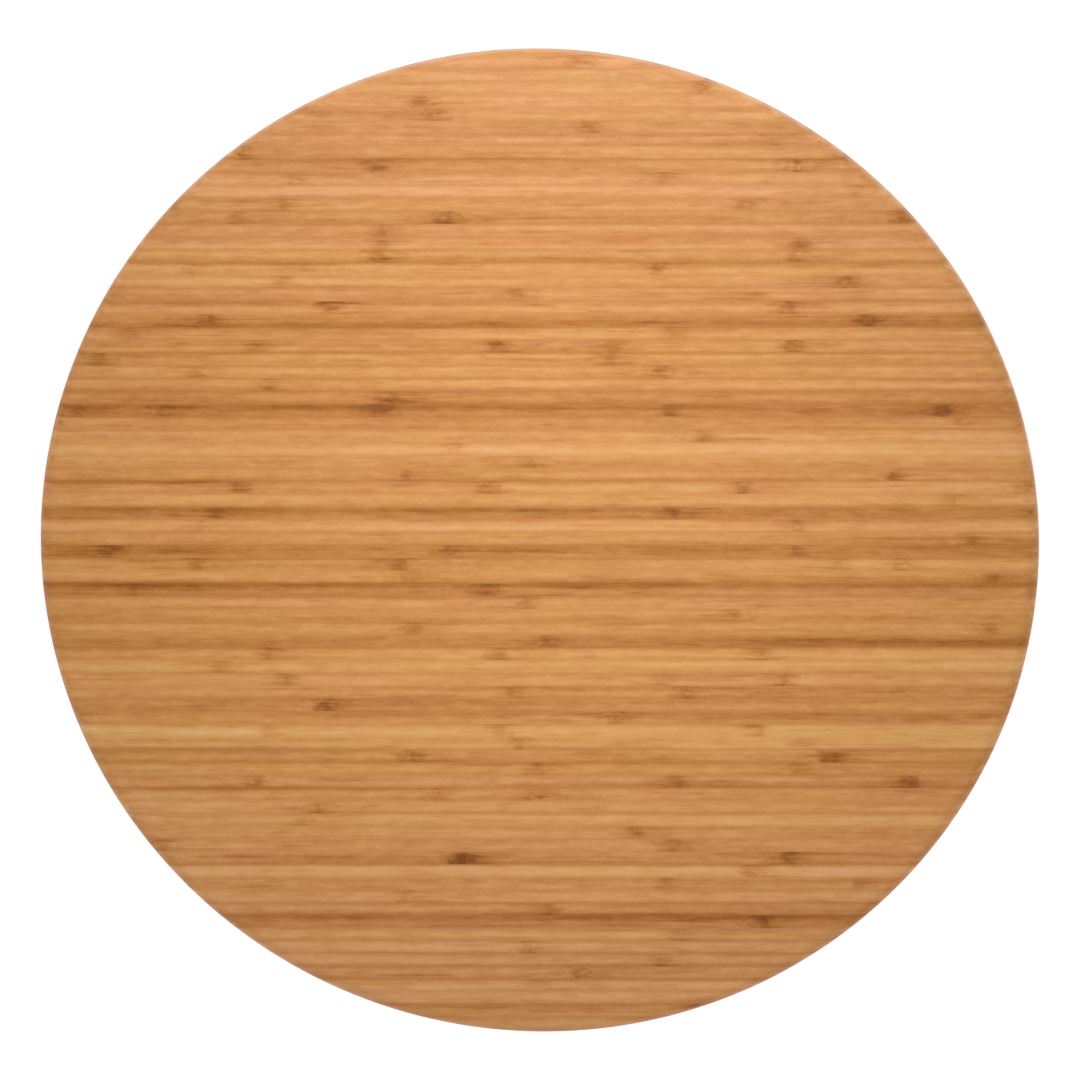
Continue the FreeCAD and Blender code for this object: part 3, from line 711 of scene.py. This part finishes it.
def divide_into_strips(board, strips):
    """Cuts a board's faces along its glue lines, and gives each face the numbers of its strip."""
    mesh = bmesh.new()
    mesh.from_mesh(board.data)
    for strip in strips[1:]:
        parts = [*mesh.verts, *mesh.edges, *mesh.faces]
        bmesh.ops.bisect_plane(mesh, geom=parts, plane_co=(0, strip.low * MM, 0), plane_no=(0, 1, 0))
    mesh.to_mesh(board.data)
    mesh.free()
    beside = zip(strips, [strips[0], *strips], [*strips[1:], strips[-1]])
    carried = [strip.attributes(below, above) for strip, below, above in beside]
    first = strips[0].low
    faces = [carried[int((face.center.y / MM - first) / STRIP_WIDTH)] for face in board.data.polygons]
    for name in carried[0]:
        attribute = board.data.attributes.new(name, "FLOAT_VECTOR", "FACE")
        attribute.data.foreach_set("vector", [number for vectors in faces for number in vectors[name]])


def smooth(board):
    """Shades a board smooth over its rounded rim, with flat faces and crisp hole edges."""
    board.data.shade_smooth()
    board.data.set_sharp_from_angle(angle=math.radians(SHARP_ANGLE))
    weighted = board.modifiers.new("weighted_normals", "WEIGHTED_NORMAL")
    weighted.keep_sharp = True


def bamboo_board(name, node, edge_radius, strips, cutters=()):
    """A bamboo disc of a CAD board's size, in place of that board."""
    low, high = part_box(node)
    radius = min(high.x, high.y, -low.x, -low.y)
    board = turned_solid(name, rim_profile(radius, low.z, high.z, edge_radius), ROUND_STEPS)
    for cutter in cutters:
        cut_away(board, cutter)
    divide_into_strips(board, strips)
    smooth(board)
    return board


def access_hole_cutter(low, high):
    """The shape of the base board's access hole, flared at the board's lower face."""
    box = frame["record"]["physics"]["openings"][0]["box_m"]
    wide = ACCESS_HOLE_RADIUS + ACCESS_HOLE_CHAMFER
    past = 1 * MM
    profile = [(wide + past, low - past), (ACCESS_HOLE_RADIUS, low + ACCESS_HOLE_CHAMFER)]
    cutter = turned_solid("access_hole", [*profile, (ACCESS_HOLE_RADIUS, high + past)], HOLE_STEPS)
    x, y = ((box[0][i] + box[1][i]) / 2 for i in range(2))
    cutter.data.transform(Matrix.Translation((x, y, 0)))
    return cutter


def make_serving_strips(rng):
    """The serving board's strips, with the tones and marks that are given for it."""
    tones = {number: tone for tone, numbers in SERVING_TONES.items() for number in numbers}
    x, y = MARKS_ORIGIN
    knots = [(x + knot_x, y + knot_y, depth) for knot_x, knot_y, depth in SERVING_KNOTS]
    streaks = [(y + line, x + start, x + end, depth) for line, start, end, depth in SERVING_STREAKS]
    return make_strips(rng, SERVING_RADIUS, SERVING_MIDDLE, tones, knots, streaks)


def make_boards():
    """Both bamboo boards, each riding on its body and standing for its CAD node."""
    rng = random.Random(GRAIN_SEED)
    serving_strips = make_serving_strips(rng)
    serving = bamboo_board("serving_board", "top_board", SERVING_EDGE_RADIUS, serving_strips)
    serving.data.materials.append(bamboo("serving_bamboo"))
    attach(serving, "turntable")
    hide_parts("top_board")

    low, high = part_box("base_board")
    base_strips = make_strips(rng, BASE_RADIUS, BASE_MIDDLE)
    hole = access_hole_cutter(low.z, high.z)
    base = bamboo_board("bamboo_base", "base_board", BASE_EDGE_RADIUS, base_strips, [hole])
    base.data.materials.append(bamboo("base_bamboo"))
    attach(base, "base")
    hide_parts("base_board")


# ---- CAD pieces ---------------------------------------------------------------------------------------


def dress_cad_pieces():
    """Gives every CAD piece that stays its material, by the record's material slot."""
    materials = {
        "swivel_steel": zinc_sheet("swivel_steel"),
        "rivet_steel": plated_fastener("rivet_steel", (0.34, 0.33, 0.31), (0.62, 0.61, 0.58)),
        "ball_steel": ball_steel("ball_steel"),
        "nylon": nylon("nylon"),
        "foot_rubber": foot_rubber("foot_rubber"),
        "washer_steel": plated_fastener("washer_steel", (0.38, 0.38, 0.39), (0.66, 0.66, 0.67)),
        "screw_steel": plated_fastener("screw_steel", (0.42, 0.36, 0.24), (0.70, 0.64, 0.48)),
    }
    for subpart in frame["record"]["subparts"]:
        node = frame["nodes"][subpart["node"]]
        if subpart["material_slot"] in materials:
            node.data.materials.clear()
            node.data.materials.append(materials[subpart["material_slot"]])


# ---- surroundings -------------------------------------------------------------------------------------


def make_floor():
    """A plain floor that glows enough to read as white."""
    s = Surface("floor_white", Roughness=0.9, Specular_IOR_Level=0.0)
    s.finish(colour=FLOOR_COLOUR)
    s.shader.inputs["Emission Color"].default_value = FLOOR_GLOW
    s.shader.inputs["Emission Strength"].default_value = 1.0
    bpy.ops.mesh.primitive_plane_add(size=FLOOR_SIZE, location=(0, 0, cad_box[0].z - FLOOR_GAP))
    floor = bpy.context.object
    floor.name = "floor"
    floor.data.materials.append(s.material)


def aim(thing, target, across=(1, 0, 0)):
    """Points a light or camera at a target, with a given direction across its picture."""
    back = (thing.location - Vector(target)).normalized()
    right = (Vector(across) - Vector(across).dot(back) * back).normalized()
    thing.rotation_euler = Matrix((right, back.cross(right), back)).transposed().to_euler()


def soft_light(name, place, size, power, colour):
    """A rectangular area light aimed at the middle of the serving board."""
    data = bpy.data.lights.new(name, "AREA")
    data.shape = "RECTANGLE"
    data.size, data.size_y = size
    data.energy = power
    data.color = colour
    light = bpy.data.objects.new(name, data)
    light.location = place
    light.visible_camera = False
    bpy.context.scene.collection.objects.link(light)
    aim(light, LIGHT_TARGET)


def make_lights():
    """White surroundings, and a soft window-like light above the far half of the board."""
    world = bpy.data.worlds.new("studio")
    world.use_nodes = True
    n = Nodes(world.node_tree)
    x, y, z = n.parts(n.node("TexCoord").outputs["Generated"])
    low_down = n.math("POWER", n.math("SUBTRACT", 1.0, n.math("MAXIMUM", z, 0.0)), 2.0)
    side = n.total(1.0, n.math("MULTIPLY", x, -WALL_LEFT), n.math("MULTIPLY", y, WALL_BACK))
    strength = n.math("MULTIPLY_ADD", n.math("MULTIPLY", low_down, side), WALL_GLOW, CEILING_GLOW)
    background = world.node_tree.nodes["Background"]
    background.inputs["Color"].default_value = (1.0, 1.0, 1.0, 1.0)
    n.feed(background.inputs["Strength"], strength)
    bpy.context.scene.world = world
    soft_light("key", KEY_PLACE, KEY_SIZE, KEY_POWER, KEY_COLOUR)


def make_camera():
    """A long lens high above the board, leaning in a little from beyond its far edge."""
    azimuth = math.radians(CAMERA_AZIMUTH)
    elevation = math.radians(CAMERA_ELEVATION)
    level = math.cos(elevation)
    back = Vector((math.sin(azimuth) * level, -math.cos(azimuth) * level, math.sin(elevation)))
    target = Vector((*CAMERA_TARGET, cad_box[1].z))
    data = bpy.data.cameras.new("camera")
    data.sensor_width = SENSOR_WIDTH
    data.lens = SENSOR_WIDTH * CAMERA_DISTANCE / PICTURE_WIDTH
    camera = bpy.data.objects.new("camera", data)
    camera.location = target + back * CAMERA_DISTANCE
    bpy.context.scene.collection.objects.link(camera)
    aim(camera, target)
    bpy.context.scene.camera = camera


make_boards()
dress_cad_pieces()
make_floor()
make_lights()
make_camera()
bpy.context.scene.view_settings.view_transform = "Standard"
